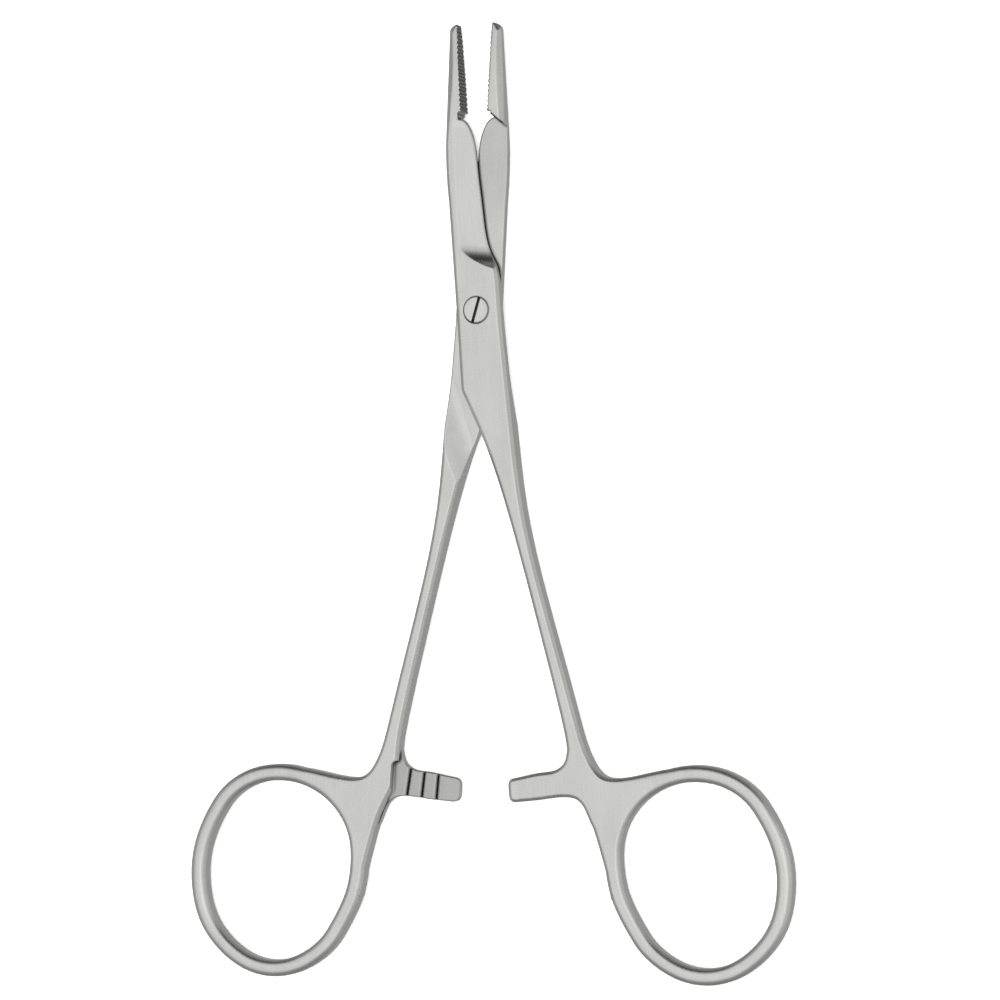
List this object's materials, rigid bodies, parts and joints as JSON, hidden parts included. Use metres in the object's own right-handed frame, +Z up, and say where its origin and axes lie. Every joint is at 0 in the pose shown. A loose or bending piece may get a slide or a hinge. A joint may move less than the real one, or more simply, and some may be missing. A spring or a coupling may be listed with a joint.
{
  "type": "surgical needle holder",
  "caption": "Satin steel needle holder with suture scissor blades behind its jaws, partly open.",
  "frame": {"origin": "middle of the length and width, on the plane the part lies on; the screw's axis crosses x = 0", "axes": "+Y along the instrument from the finger rings to the jaws, +Z up out of the front face with the screw head, +X to the right seen from the front"},
  "size_m": [0.0924, 0.1388, 0.0034],
  "materials": {
    "satin_steel": "satin",
    "screw_steel": "satin"
  },
  "bodies": {
    "rear": {"rear_half": "satin_steel", "pivot_screw": "screw_steel"},
    "front": {"front_half": "satin_steel"}
  },
  "joints": [
    {"name": "opening", "type": "hinge", "parent": "rear", "child": "front", "pos_m": [0, 0.02766, 0.0017], "axis": [0, 0, 1], "range_deg": [-7.1, 45]}
  ]
}
